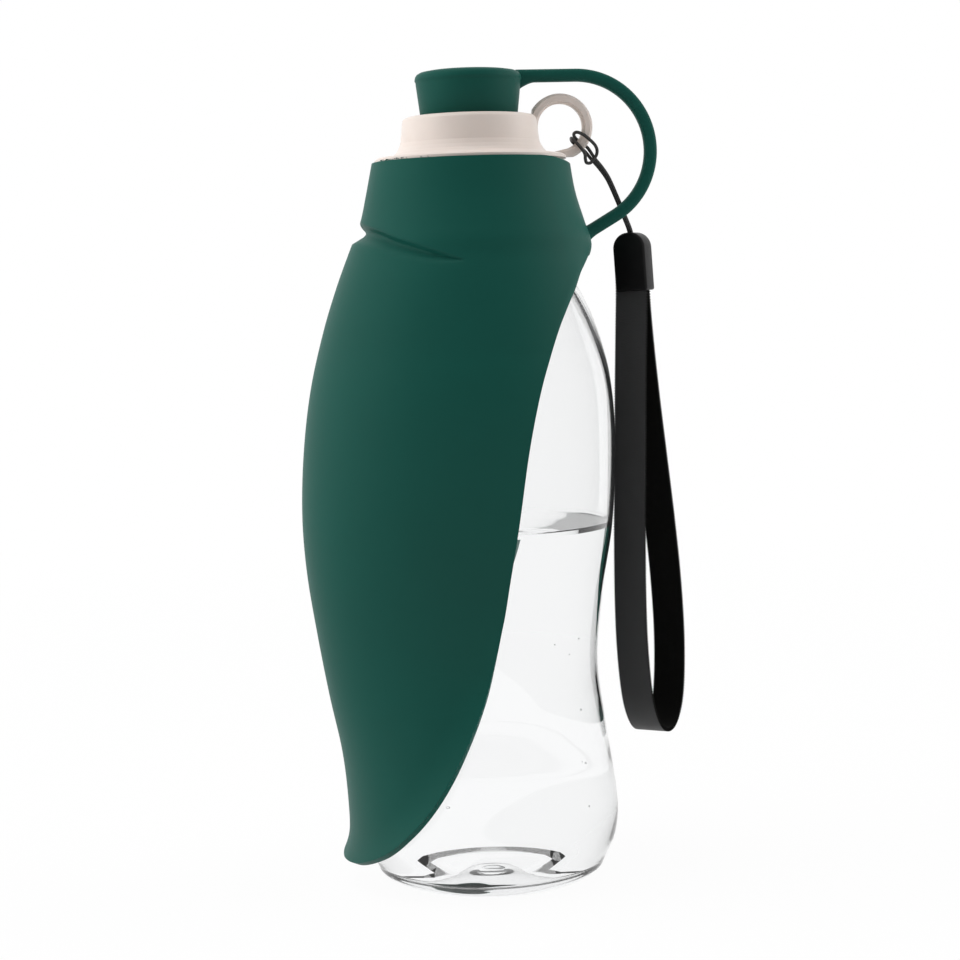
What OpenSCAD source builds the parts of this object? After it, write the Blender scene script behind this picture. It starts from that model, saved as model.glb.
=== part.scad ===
// Dog travel water bottle: a clear squeeze bottle, a screw cap with a soft pull stopper,
// and a soft leaf that hugs the bottle and folds up to make a drinking trough.
// Millimetres, +Z up. The origin is the centre of the foot; the leaf lies towards -X,
// the lanyard and the stopper's tether towards +X.

/* [Bottle] */
// Radius of the ring that the bottle stands on
foot_r = 26; // [22:0.5:28]
// Radius of the lower bulge
hip_r = 38.7; // [36:0.1:40]
// Radius of the waist that the hand squeezes
waist_r = 33.7; // [31:0.1:36]
// Radius of the upper bulge
belly_r = 40.6; // [38:0.1:42]
// Height of the lower bulge
hip_z = 22; // [18:0.5:26]
// Height of the waist
waist_z = 64; // [60:0.5:68]
// Height of the upper bulge
belly_z = 132; // [128:0.5:138]
// Height of the mouth rim
neck_z = 208; // [205:0.5:210]
// Outer radius of the neck
neck_r = 22.5; // [21:0.1:23]
// Wall of the blown body
bottle_wall = 1; // [0.7:0.1:1.6]
// Wall of the moulded neck
neck_wall = 2.2; // [1.6:0.1:3]
// Radius of the handling bead under the cap
bead_r = 24.6; // [23.8:0.1:25.4]
// Height that the foot's dome is pushed up
push_up = 6; // [3:0.5:9]

/* [Cap] */
// Thickness of the sealing ring
gasket_t = 1.8; // [1.2:0.1:2.4]
// Wall of the cap
cap_wall = 1.7; // [1.4:0.1:2.2]
// Gap between the neck and the cap's skirt, where the threads run
thread_gap = 2.2; // [2:0.1:2.6]
// Height of the cap's skirt below the sealing ring
skirt_h = 17; // [14:0.5:18]
// Outer radius of the flange that sits on the collar
flange_r = 28.2; // [27.4:0.1:29]
// Height of the flange's edge
flange_t = 1.3; // [1:0.1:2]
// Outer radius of the spout's drum at its foot
drum_r = 20.5; // [19.6:0.1:21.5]
// Height of the drum's rim above the flange's underside
drum_h = 13; // [12:0.1:16]
// Draft of the drum from foot to rim
drum_draft = 0.7; // [0:0.1:2]
// Outer radius of the lanyard ring
ring_r = 9.7; // [9:0.1:11]
// Width of the lanyard ring's bar, measured across the hole
ring_bar = 3; // [2.4:0.1:3.6]
// Thickness of the lanyard ring
ring_t = 3; // [2.4:0.1:3.6]
// Distance of the lanyard ring's centre from the bottle's axis
ring_x = 27; // [26:0.5:28.5]

/* [Stopper and tether] */
// Radius of the stopper's head
stopper_r = 16; // [15:0.1:17]
// Height of the stopper's head above the cap
head_h = 13.4; // [10:0.1:15]
// Depth of the plug in the spout
plug_h = 12; // [9:0.5:12.5]
// Shrink of the plug's radius for each millimetre down
plug_taper = 0.165; // [0.1:0.005:0.2]
// Play between plug and spout
plug_play = 0.1; // [0.05:0.01:0.2]
// Wall of the hollow plug
plug_wall = 2.4; // [1.6:0.1:3.2]
// Thickness of the tether
tether_t = 3.8; // [3:0.1:4.6]
// Width of the tether
tether_w = 4; // [3:0.1:4.6]
// Radius of the tether's bow
tether_bow = 22.2; // [20:0.1:24]
// Angle at which the bow runs out towards the collar
tether_end = -60; // [-66:1:-54]

/* [Leaf] */
// Thickness of the soft leaf
leaf_wall = 2.3; // [1.8:0.1:2.8]
// Gap between bottle and leaf at the sides
leaf_gap = 1.5; // [1.2:0.1:2.5]
// Depth of the fold's groove
groove_d = 3; // [1.5:0.1:3.4]
// Angle to which the groove reaches on each side
groove_end = 78; // [60:1:84]
// Slit left between collar and blade
fold_slit = 0.6; // [0.4:0.1:0.8]
// How far the lip turns out along the leaf's lower edge
lip_out = 1.8; // [0:0.1:2.6]
// Width of the turned-out lip
lip_w = 8; // [5:0.5:12]

/* [Lanyard] */
// Diameter of the lanyard cord
cord_d = 1; // [0.8:0.1:1.1]
// Width of the ferrule
ferrule_w = 11.2; // [10.6:0.1:12.4]
// Thickness of the ferrule
ferrule_t = 6.4; // [5:0.1:6.6]
// Height of the ferrule
ferrule_h = 17.6; // [14:0.1:18]
// Width of the wrist strap
strap_w = 10; // [8:0.5:10]
// Thickness of the wrist strap
strap_t = 1.1; // [0.8:0.1:1.4]
// Depth of the strap's ends in the ferrule
strap_in = 10; // [5:0.5:12]

/* [Hidden] */

foot_half = 1.5;
neck_straight = 18;
neck_foot_z = neck_z - neck_straight;
bead_drop = 20;
bead_z = neck_z - bead_drop;
bead_h = 2;
bead_join = 1.1;

// Smooth curve through [place, value] pairs, with the mean slope at each inner pair
function slope(p, i) =
    i == 0 ? (p[1][1] - p[0][1]) / (p[1][0] - p[0][0]) :
    i == len(p) - 1 ? (p[i][1] - p[i - 1][1]) / (p[i][0] - p[i - 1][0]) :
    (p[i + 1][1] - p[i - 1][1]) / (p[i + 1][0] - p[i - 1][0]);
function span(p, x, i = 0) = (i >= len(p) - 2 || x < p[i + 1][0]) ? i : span(p, x, i + 1);
function hermite(a, b, da, db, t) =
    a * (2 * pow(t, 3) - 3 * t * t + 1) + da * (pow(t, 3) - 2 * t * t + t)
    + b * (3 * t * t - 2 * pow(t, 3)) + db * (pow(t, 3) - t * t);
function curve_in(p, x, i) =
    let (w = p[i + 1][0] - p[i][0])
    hermite(p[i][1], p[i + 1][1], slope(p, i) * w, slope(p, i + 1) * w, (x - p[i][0]) / w);
function curve(p, x) = curve_in(p, x, span(p, x));
function ease(t) = let (c = min(1, max(0, t))) c * c * (3 - 2 * c);
function mix(a, b, t) = a + (b - a) * t;

// Outer radius of the bottle's body over its height
heel_z = 4;
heel_r = hip_r - 4.5;
body_line = [
    [heel_z, heel_r], [12, hip_r - 0.9], [hip_z, hip_r], [44, (hip_r + waist_r) / 2 - 0.3],
    [waist_z, waist_r], [84, (waist_r + belly_r) / 2 - 1.6], [106, belly_r - 1.4], [belly_z, belly_r],
    [150, belly_r - 1.2], [163, belly_r - 4.4], [174, neck_r + 9.2], [183, neck_r + 3.4],
    [neck_foot_z, neck_r]
];
function body_r(z) = curve(body_line, z);
body_zs = [for (k = [0:45]) mix(heel_z, neck_foot_z, k / 45)];
heel_steps = 6;
// Heel: a curve from the foot ring, flat at first, up to the side wall
function heel(t) = [
    mix(foot_r + foot_half, heel_r, 1 - pow(1 - t, 1.8)),
    heel_z * pow(t, 1.8)
];
// Dome pushed up inside the foot ring, with a round gate mark at its middle
function dome(t) = [(foot_r - foot_half) * (1 - t), push_up * ease(t * 1.15)];
dome_steps = 12;
gate_r = 3;
gate_h = 0.8;

module bottle() {
    outer = concat(
        [for (k = [dome_steps:-1:1]) dome(k / dome_steps)],
        [[foot_r - foot_half, 0]],
        [for (k = [0:heel_steps - 1]) heel(k / heel_steps)],
        [for (z = body_zs) [body_r(z), z]],
        [[neck_r, neck_z]]
    );
    inner = concat(
        [[neck_r - neck_wall, neck_z], [neck_r - neck_wall, neck_foot_z + 2]],
        [for (k = [len(body_zs) - 2:-1:0]) [body_r(body_zs[k]) - bottle_wall, body_zs[k]]],
        [for (k = [heel_steps - 1:-2:1]) heel(k / heel_steps) + [-0.6 * bottle_wall, bottle_wall]],
        [[foot_r, bottle_wall]],
        [for (k = [1:dome_steps]) dome(k / dome_steps) + [0, bottle_wall]]
    );
    color([0.86, 0.9, 0.92, 0.45])
    union() {
        rotate_extrude($fn = 120) polygon(concat(outer, inner));
        translate([0, 0, push_up - gate_h])
        cylinder(r = gate_r, h = gate_h + bottle_wall / 2, $fn = 48);
        // handling bead
        translate([0, 0, bead_z])
        difference() {
            cylinder(r = bead_r, h = bead_h, $fn = 120);
            translate([0, 0, -1]) cylinder(r = neck_r - bead_join, h = bead_h + 2, $fn = 120);
        }
    }
}

// Sealing ring on the mouth rim
gasket_z = neck_z;
gasket_out = neck_r + 0.6;
gasket_in = neck_r - neck_wall - 0.6;

module sealing_ring() {
    color([0.93, 0.94, 0.95])
    translate([0, 0, gasket_z])
    difference() {
        cylinder(r = gasket_out, h = gasket_t, $fn = 96);
        translate([0, 0, -1]) cylinder(r = gasket_in, h = gasket_t + 2, $fn = 96);
    }
}

// Screw cap: skirt, flange, spout drum with its bore, and the lanyard ring
seat_z = gasket_z + gasket_t;
flange_z = seat_z + 3.8;
drum_z = flange_z + drum_h;
drum_top_r = drum_r - drum_draft;
skirt_in = neck_r + thread_gap;
skirt_out = skirt_in + cap_wall;
plug_top_r = stopper_r - 0.4 - plug_taper * head_h + 0.5;
function plug_r(z) = plug_top_r - plug_taper * (drum_z - z);
function bore_r(z) = plug_r(z) + plug_play;
tube_z = drum_z - plug_h - 1;
rim_round = 1.6;
ring_drop = 3.5;
ring_c = [ring_x, drum_z - ring_drop];
corner_r = 0.4;
ring_hole = ring_r - ring_bar;
ring_low = 0.6;

module lanyard_ring() {
    translate([ring_c[0], 0, ring_c[1]])
    rotate([90, 0, 0])
    difference() {
        rotate_extrude($fn = 72)
        translate([ring_hole, 0])
        polygon([
            [0, -ring_t / 4], [ring_bar / 4, -ring_t / 2], [ring_bar * 3 / 4, -ring_t / 2],
            [ring_bar, -ring_t / 4], [ring_bar, ring_t / 4], [ring_bar * 3 / 4, ring_t / 2],
            [ring_bar / 4, ring_t / 2], [0, ring_t / 4]
        ]);
        // trimmed away inside the drum's wall and under the flange
        translate([-ring_c[0], 0, 0])
        rotate([-90, 0, 0])
        translate([0, 0, flange_z - ring_c[1] - ring_r])
        cylinder(r = drum_r - cap_wall, h = drum_h + 3 * ring_r, $fn = 96);
        translate([-ring_x, flange_z + ring_low - ring_c[1] - ring_r, -ring_t])
        cube([2 * ring_x, ring_r, 2 * ring_t]);
        // the hole runs on into the corner between drum and flange
        translate([0, 0, -ring_t])
        linear_extrude(2 * ring_t)
        hull() {
            circle(r = ring_hole, $fn = 72);
            translate([drum_r + corner_r - ring_c[0], flange_z + flange_t + corner_r - ring_c[1]])
            circle(r = corner_r, $fn = 24);
        }
    }
}

module screw_cap() {
    skirt_z = seat_z - skirt_h;
    flare = [for (k = [0:6]) let (t = k / 6) [
        mix(drum_r, flange_r - 0.7, 1 - pow(1 - t, 0.5)),
        mix(flange_z + 5.4, flange_z + flange_t, 1 - pow(1 - t, 2.2))
    ]];
    outer = concat(
        [[bore_r(drum_z) , drum_z], [drum_top_r - rim_round, drum_z]],
        [for (k = [1:4]) let (a = 22.5 * k)
            [drum_top_r - rim_round * (1 - sin(a)), drum_z - rim_round * (1 - cos(a))]],
        flare,
        [[flange_r, flange_z + flange_t * 0.6], [flange_r, flange_z], [skirt_out, flange_z],
         [skirt_out, skirt_z]]
    );
    inner = [
        [skirt_in, skirt_z], [skirt_in, seat_z], [drum_r - 2 * cap_wall, seat_z],
        [drum_top_r - cap_wall - 0.3, drum_z - cap_wall], [bore_r(drum_z) + cap_wall + 0.2, drum_z - cap_wall],
        [bore_r(tube_z) + cap_wall, tube_z], [bore_r(tube_z), tube_z]
    ];
    color([0.89, 0.85, 0.83])
    union() {
        rotate_extrude($fn = 120) polygon(concat(outer, inner));
        lanyard_ring();
    }
}

// Stopper: a drafted head over a hollow plug, with the stub that the tether grows from
head_z = drum_z + head_h;
stub_x = stopper_r + 3;
tether_z = head_z - tether_t / 2;
head_round = 1.6;
rim_r = stopper_r;
head_foot_r = plug_top_r + 0.4;

module stopper() {
    seat_gap = 0.3;
    profile = concat(
        [[0, head_z]],
        [for (k = [0:5]) let (a = 18 * k)
            [rim_r - head_round * (1 - sin(a)), head_z - head_round * (1 - cos(a))]],
        [[rim_r - 0.25, head_z - 2.9], [head_foot_r, drum_z + seat_gap],
         [plug_r(drum_z + seat_gap), drum_z + seat_gap],
         [plug_r(drum_z - plug_h), drum_z - plug_h], [plug_r(drum_z - plug_h) - plug_wall, drum_z - plug_h],
         [plug_r(drum_z) - plug_wall, drum_z + 1], [0, drum_z + 1]]
    );
    color([0.16, 0.38, 0.34])
    union() {
        rotate_extrude($fn = 96) polygon(profile);
        translate([stopper_r - 2, -tether_w / 2, tether_z - tether_t / 2])
        cube([stub_x - stopper_r + 2, tether_w, tether_t]);
        // web under the stub
        translate([0, tether_w / 2, 0])
        rotate([90, 0, 0])
        linear_extrude(tether_w)
        polygon([
            [stopper_r - 1.6, tether_z - tether_t / 2 + 0.5], [stub_x - 0.2, tether_z - tether_t / 2 + 0.5],
            [stub_x - 0.2, tether_z - tether_t / 2], [stopper_r + 0.6, tether_z - tether_t / 2 - 0.9],
            [stopper_r - 1.6, tether_z - tether_t / 2 - 3.6]
        ]);
    }
}

// Leaf: every radius is measured from the bottle's axis, every angle from -X
collar_top_z = flange_z;
collar_play = 0.4;
collar_top_r = skirt_out + collar_play + leaf_wall;
fold_drop = 15;
fold_z = neck_z - fold_drop;
tip_z = 7.5;
back_z = 185;
// Reach of the leaf's middle line
reach_line = [
    [0, 42.5], [tip_z, 42.8], [20, 42.5], [38, 43.8], [57, 47.3], [76, 50.3], [94, 52.6], [111, 53.3],
    [130, 52.1], [148, 49.4], [165, 45], [178, 40.6], [188, 36.6], [192, 34.9], [197, 32.9],
    [204, 31.2], [collar_top_z, collar_top_r]
];
// Reach to the sides and to the back above the shoulder
shoulder_z = 158;
side_line = [
    [shoulder_z, body_r(shoulder_z) + leaf_gap + leaf_wall], [166, 40.2], [174, 38.6], [181, 36.9], [186, 35.4],
    [190.5, 34.7], [195, 33.2], [204, 30.6], [collar_top_z, collar_top_r]
];
function reach(z) = curve(reach_line, z);
function side(z) =
    z > shoulder_z ? curve(side_line, z) : body_r(max(z, hip_z)) + leaf_gap + leaf_wall;
// Lower edge of the leaf: [angle, height]
edge_line = [
    [0, tip_z], [18, 9], [34, 12.9], [44, 17.4], [55.5, 25.4], [65.5, 35.8], [75.5, 50.1], [82.7, 62.6],
    [90.2, 82.9], [93.4, 97.2], [95.8, 108.5], [99.8, 128.3], [103.4, 140.5], [107.6, 150.1],
    [112.8, 157.9], [118.1, 164.6], [124, 169.9], [130.6, 174.6], [140.7, 180.8], [158, 184.6],
    [180, back_z]
];
function edge_z(a) = curve(edge_line, abs(a));
turn_a = 124;
edge_turn = [for (e = edge_line) if (e[0] <= turn_a) [e[1], e[0]]];
function edge_a(z) = z <= tip_z ? 0 : curve(edge_turn, z);
// Angle of the wings on the edge, where collar and blade part
wing_a = 102;
// Crease: the bottom of the fold's groove, which runs down a little to each side
crease_line = [
    [0, fold_z], [15, 192.6], [29, 191.6], [41, 189.8], [53, 188], [63, 186.3], [77, 184.4], [wing_a, 182]
];
function crease_at(a) = curve(crease_line, min(wing_a, abs(a)));
// Fold: the line on which the collar ends and the blade begins, out to the wings
wing_z = edge_z(wing_a);
fold_bend = 7;
function fold_at(a) =
    let (t = min(1, abs(a) / wing_a))
    crease_at(a) - (crease_at(wing_a) - wing_z) * pow(t, fold_bend);
// Half of the slit between the two, measured straight down so that its width stays the same
function slit_at(a) =
    let (rise = (fold_at(abs(a) - 1) - fold_at(abs(a))) * 180 / PI / side(wing_z))
    fold_slit / 2 * norm([1, rise]);
// Groove under the collar, deepest at the middle and gone at its ends
groove_up = 4.2;
groove_down = 3;
function groove(a, h) =
    let (t = abs(a) / groove_end,
         narrow = max(0.15, 1 - pow(t, 4)),
         away = abs(h) / narrow / (h > 0 ? groove_up : groove_down))
    t >= 1 ? 0 : groove_d * pow(cos(90 * t), 0.8) * (1 - ease(away));
// Lip: turned out near the edge, less and less on the way up
lip_foot_z = 20;
lip_mid_z = 110;
lip_end_z = 168;
function lip_reach(a, z) =
    let (along = max(0, edge_a(z) - abs(a)) * side(z) * PI / 180, up = max(0, z - edge_z(a)))
    along * up / max(0.01, norm([along, up]));
function lip(a, z) =
    let (fade = 1 - 0.8 * ease((z - lip_foot_z) / (lip_mid_z - lip_foot_z)),
         last = 1 - ease((z - lip_mid_z) / (lip_end_z - lip_mid_z)))
    z > lip_end_z ? 0 : lip_out * fade * last * pow(max(0, 1 - lip_reach(a, z) / lip_w), 2);
function shell_r(a, z) =
    let (fore = cos(a) > 0 ? reach(z) : side(z))
    1 / norm([cos(a) / fore, sin(a) / side(z)]) - groove(a, z - crease_at(a));
function on_leaf(a, z, inward) =
    let (r = shell_r(a, z) + lip(a, z) - inward)
    [-r * cos(a), -r * sin(a), z];

// Closed skin between two grids of points of equal size; wrap joins the first and last columns
function sheet_faces(rows, cols, wrap) =
    let (n = rows * cols, last = wrap ? cols : cols - 1)
    concat(
        [for (i = [0:rows - 2], j = [0:last - 1])
            let (k = (j + 1) % cols) [i * cols + j, i * cols + k, (i + 1) * cols + k, (i + 1) * cols + j]],
        [for (i = [0:rows - 2], j = [0:last - 1])
            let (k = (j + 1) % cols)
            [n + i * cols + j, n + (i + 1) * cols + j, n + (i + 1) * cols + k, n + i * cols + k]],
        [for (j = [0:last - 1])
            let (k = (j + 1) % cols) [j, n + j, n + k, k]],
        [for (j = [0:last - 1])
            let (k = (j + 1) % cols, i = (rows - 1) * cols) [i + j, i + k, n + i + k, n + i + j]],
        wrap ? [] : [for (i = [0:rows - 2])
            [i * cols, (i + 1) * cols, n + (i + 1) * cols, n + i * cols]],
        wrap ? [] : [for (i = [0:rows - 2])
            let (j = cols - 1)
            [i * cols + j, n + i * cols + j, n + (i + 1) * cols + j, (i + 1) * cols + j]]
    );
function halves(faces) = [for (f = faces) each [[f[0], f[1], f[2]], [f[0], f[2], f[3]]]];

collar_cols = 60;
collar_rows = [0, 0.04, 0.08, 0.12, 0.16, 0.2, 0.26, 0.34, 0.44, 0.56, 0.7, 0.85, 1];
function collar_foot(a) = abs(a) <= wing_a ? fold_at(a) + slit_at(a) : edge_z(a);
function collar_points(inward) = [
    for (v = collar_rows, j = [0:collar_cols - 1])
        let (a = -180 + 360 * j / collar_cols)
        on_leaf(a, mix(collar_foot(a), collar_top_z, v), inward)
];

module leaf_collar() {
    color([0.16, 0.38, 0.34])
    polyhedron(
        points = concat(collar_points(0), collar_points(leaf_wall)),
        faces = halves(sheet_faces(len(collar_rows), collar_cols, true))
    );
}

blade_cols = 34;
blade_rows = [
    0, 0.006, 0.014, 0.026, 0.042, 0.062, 0.086, 0.115, 0.15, 0.19, 0.235, 0.285, 0.34, 0.4, 0.46,
    0.52, 0.58, 0.64, 0.7, 0.76, 0.82, 0.87, 0.91, 0.94, 0.96, 0.974, 0.983, 0.99, 0.996, 1
];
function blade_points(inward) = [
    for (v = blade_rows, j = [0:blade_cols])
        let (
            s = -1 + 2 * j / blade_cols,
            low = mix(tip_z + 0.35, wing_z, v),
            mid = mix(tip_z, fold_z, v),
            z = low + (mid - low) * (fold_at(s * wing_a) - wing_z) / (fold_z - wing_z),
            a = s * edge_a(low)
        )
        on_leaf(a, z - slit_at(a) * v, inward)
];

module leaf_blade() {
    color([0.16, 0.38, 0.34])
    polyhedron(
        points = concat(blade_points(0), blade_points(leaf_wall)),
        faces = halves(sheet_faces(len(blade_rows), blade_cols + 1, false))
    );
}

// Tether: from the stopper's stub, round a bow, back to the collar
bow_c = [32, tether_z - tether_bow];
bow_end = bow_c + tether_bow * [cos(tether_end), sin(tether_end)];
// Straight run from the bow's end to the collar's skin
run_out = (bow_end[0] - side(bow_end[1] - 4.5)) / -sin(tether_end);

module tether() {
    steps = 30;
    arc = [for (k = [0:steps]) mix(90, tether_end, k / steps)];
    heading = [sin(tether_end), -cos(tether_end)];
    square = [cos(tether_end), sin(tether_end)];
    foot = bow_end + run_out * heading;
    out_r = tether_bow + tether_t / 2;
    in_r = tether_bow - tether_t / 2;
    color([0.16, 0.38, 0.34])
    translate([0, tether_w / 2, 0])
    rotate([90, 0, 0])
    linear_extrude(tether_w)
    polygon(concat(
        [[stub_x + 0.1, tether_z + tether_t / 2]],
        [for (a = arc) bow_c + out_r * [cos(a), sin(a)]],
        [foot + square * tether_t / 2, foot - square * tether_t / 2],
        [for (k = [steps:-1:0]) bow_c + in_r * [cos(arc[k]), sin(arc[k])]],
        [[stub_x + 0.1, tether_z - tether_t / 2]]
    ));
}

// Lanyard: turned a little about the vertical, it hangs beside the bottle
hang = [49.2, 6];
hang_turn = -32;
ferrule_z = 174;
ferrule_top = ferrule_z + ferrule_h;
pocket_play = 0.2;
strap_apart = 0.5;
strap_side = (strap_t + strap_apart) / 2;

module at_hang() {
    translate([hang[0], hang[1], 0]) rotate([0, 0, hang_turn]) children();
}

// Route of the cord: up from the ferrule, behind the ring's bar, forward through the hole, out over
// the bar, round both strands and back the same way: a hitch that is not drawn tight
cord_route = [
    [48.7, 6.3, 188], [48.4, 6, 192], [46.9, 5.4, 195.9], [45.1, 4.9, 200.2], [43.4, 4.4, 204.1],
    [41.5, 3.9, 207.9], [39.2, 3.5, 211], [36.8, 3.1, 213.7], [34.9, 2.6, 215.9], [33, 2.4, 217.3],
    [31.1, 2.2, 218.8], [30.4, 0.1, 219.7], [30.7, -1.9, 219], [31.9, -2.4, 217.7], [33.5, -2.4, 215.7],
    [34.2, -1.2, 214.6], [34.5, 0.1, 213.5], [35, 1, 212.5], [36.2, 1.2, 212.4], [37.1, 0.8, 213.4],
    [37.9, 0.4, 214.6], [38, -0.4, 216], [37.2, -1.6, 217.4], [35.6, -2.4, 218.9], [33.6, -2.4, 220.5],
    [31.8, -1.9, 221.3], [31.2, 0.1, 220.9], [32.1, 2.1, 219.8], [33.9, 2.4, 218.3], [35.8, 2.3, 216.8],
    [37.7, 2, 213.8], [39.9, 2.4, 211.2], [42, 2.9, 208.1], [43.8, 3.4, 204.3], [45.5, 3.9, 200.4],
    [47.3, 4.4, 196.1], [48.9, 5, 192.1], [49.7, 5.5, 188]
];
// A direction that the cord never runs in, to which its rings are set
across_cord = [0.5, 0.57, 0.65];

// Tube of six or more sides along a route, ends closed
function path_point(p, t) =
    let (i = min(len(p) - 2, floor(t)), u = t - i,
         a = p[max(0, i - 1)], b = p[i], c = p[i + 1], d = p[min(len(p) - 1, i + 2)])
    hermite(b, c, (c - a) / 2, (d - b) / 2, u);
function unit(v) = v / norm(v);
function tube_ring(p, t, r, sides) =
    let (c = path_point(p, t),
         dir = unit(path_point(p, min(len(p) - 1, t + 0.02)) - path_point(p, max(0, t - 0.02))),
         n = unit(cross(dir, across_cord)), b = cross(dir, n))
    [for (k = [0:sides - 1]) c + r * (cos(360 * k / sides) * n + sin(360 * k / sides) * b)];
function tube_faces(rings, sides) = concat(
    [[for (k = [0:sides - 1]) k]],
    [for (i = [0:rings - 2], k = [0:sides - 1]) let (m = (k + 1) % sides)
        each [[i * sides + k, (i + 1) * sides + k, (i + 1) * sides + m],
              [i * sides + k, (i + 1) * sides + m, i * sides + m]]],
    [[for (k = [sides - 1:-1:0]) (rings - 1) * sides + k]]
);

module lanyard_cord() {
    sides = 8;
    rings = 2 * len(cord_route);
    color([0.06, 0.06, 0.06])
    polyhedron(
        points = [for (i = [0:rings - 1])
            each tube_ring(cord_route, (len(cord_route) - 1) * i / (rings - 1), cord_d / 2, sides)],
        faces = tube_faces(rings, sides)
    );
}

// Ferrule: an arch from the front, rounded at its sides, hollow for the strap's ends
module cord_ferrule() {
    arch_r = ferrule_w / 2 - 0.6;
    side_round = 1.6;
    color([0.07, 0.07, 0.07])
    at_hang()
    difference() {
        intersection() {
            translate([0, ferrule_t / 2, 0])
            rotate([90, 0, 0])
            linear_extrude(ferrule_t)
            polygon(concat(
                [[-ferrule_w / 2, ferrule_z], [ferrule_w / 2, ferrule_z]],
                [for (k = [0:16]) let (a = 11.25 * k)
                    [arch_r * cos(a), ferrule_top - arch_r + arch_r * sin(a)]]
            ));
            translate([0, 0, ferrule_z - 1])
            linear_extrude(ferrule_h + 2)
            polygon([for (sx = [1, -1], k = [0:8]) let (a = (sx > 0 ? -90 : 90) + 22.5 * k)
                [sx * (ferrule_w / 2 - side_round) + side_round * cos(a),
                 (k < 4 ? -sx : k > 4 ? sx : 0) * (ferrule_t / 2 - side_round) + side_round * sin(a)]]);
        }
        // pocket for the strap's two ends
        translate([-strap_w / 2 - pocket_play, -strap_side - strap_t / 2 - pocket_play, ferrule_z - 1])
        cube([strap_w + 2 * pocket_play, 2 * strap_side + strap_t + 2 * pocket_play, strap_in + 1.2]);
        // hole for the cord's two ends
        translate([0, 0, ferrule_z + strap_in])
        cylinder(d = 4 * cord_d, h = ferrule_h, $fn = 32);
    }
}

// Wrist strap: one length of webbing folded into a loop; [across, height] of its middle line
strap_end_z = ferrule_z + strap_in - 0.2;
strap_line = [
    [-strap_side, strap_end_z], [-strap_side, ferrule_z], [-1.8, 163], [-3.4, 145], [-4.8, 125],
    [-6.6, 103], [-7.4, 82], [-6.6, 65], [-3.4, 50], [2.4, 41], [9.6, 37.8], [16.6, 40], [21.6, 48],
    [23.2, 64], [21.4, 83], [17.2, 103], [12, 123], [7, 142], [3, 160], [strap_side, ferrule_z],
    [strap_side, strap_end_z]
];

module wrist_strap() {
    per_span = 5;
    total = (len(strap_line) - 1) * per_span;
    mid = [for (i = [0:total]) path_point(strap_line, i / per_span)];
    normal = [for (i = [0:total])
        let (d = unit(mid[min(total, i + 1)] - mid[max(0, i - 1)])) [-d[1], d[0]]];
    color([0.17, 0.17, 0.17])
    at_hang()
    translate([-strap_w / 2, 0, 0])
    rotate([90, 0, 90])
    linear_extrude(strap_w)
    polygon(concat(
        [for (i = [0:total]) mid[i] + normal[i] * strap_t / 2],
        [for (i = [total:-1:0]) mid[i] - normal[i] * strap_t / 2]
    ));
}

bottle();
sealing_ring();
screw_cap();
leaf_collar();
leaf_blade();
tether();
stopper();
lanyard_cord();
cord_ferrule();
wrist_strap();
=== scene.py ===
"""Dog travel water bottle: clear bottle, screw cap with a soft stopper, green leaf and wrist strap."""

import math
import random

import bpy
from mathutils import Matrix, Vector


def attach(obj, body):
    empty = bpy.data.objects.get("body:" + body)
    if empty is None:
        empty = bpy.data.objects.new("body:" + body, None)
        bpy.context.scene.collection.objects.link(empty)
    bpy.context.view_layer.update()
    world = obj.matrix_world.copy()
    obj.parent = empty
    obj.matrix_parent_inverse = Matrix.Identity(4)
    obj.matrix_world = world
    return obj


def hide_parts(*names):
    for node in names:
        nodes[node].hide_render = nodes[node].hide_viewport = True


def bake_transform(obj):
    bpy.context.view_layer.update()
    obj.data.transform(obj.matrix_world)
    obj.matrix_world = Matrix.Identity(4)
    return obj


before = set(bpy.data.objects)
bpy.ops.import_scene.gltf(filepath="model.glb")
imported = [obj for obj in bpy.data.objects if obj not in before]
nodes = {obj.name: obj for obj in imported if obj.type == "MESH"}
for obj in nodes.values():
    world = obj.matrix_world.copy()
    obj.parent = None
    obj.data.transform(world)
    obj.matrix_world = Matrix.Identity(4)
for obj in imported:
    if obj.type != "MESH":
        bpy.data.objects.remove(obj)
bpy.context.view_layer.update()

# ---------------------------------------------------------------------------------------------
# Camera: a product shot at the height of the leaf's upper half, turned 8 degrees towards the
# leaf and tilted a little down, from about 0.63 m away with a short telephoto lens.
turn, pitch, roll = math.radians(8), math.radians(5.24), math.radians(-1.73)
distance, eye_height = 0.6286, 0.1769
sensor_width, focal_pixels, picture_pixels = 36, 2113.4, 960
forward = Vector(
    (math.sin(turn) * math.cos(pitch), math.cos(turn) * math.cos(pitch), -math.sin(pitch))
)
level_right = Vector((math.cos(turn), -math.sin(turn), 0))
level_up = level_right.cross(forward)
right = math.cos(roll) * level_right + math.sin(roll) * level_up
up = math.cos(roll) * level_up - math.sin(roll) * level_right
bpy.ops.object.camera_add()
camera = bpy.context.active_object
camera.matrix_world = Matrix.Translation(
    (-distance * math.sin(turn), -distance * math.cos(turn), eye_height)
) @ Matrix((right, up, -forward)).transposed().to_4x4()
camera.data.sensor_width = sensor_width
camera.data.lens = focal_pixels / picture_pixels * sensor_width
camera.data.clip_start, camera.data.clip_end = 0.01, 30
bpy.context.scene.camera = camera


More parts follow.
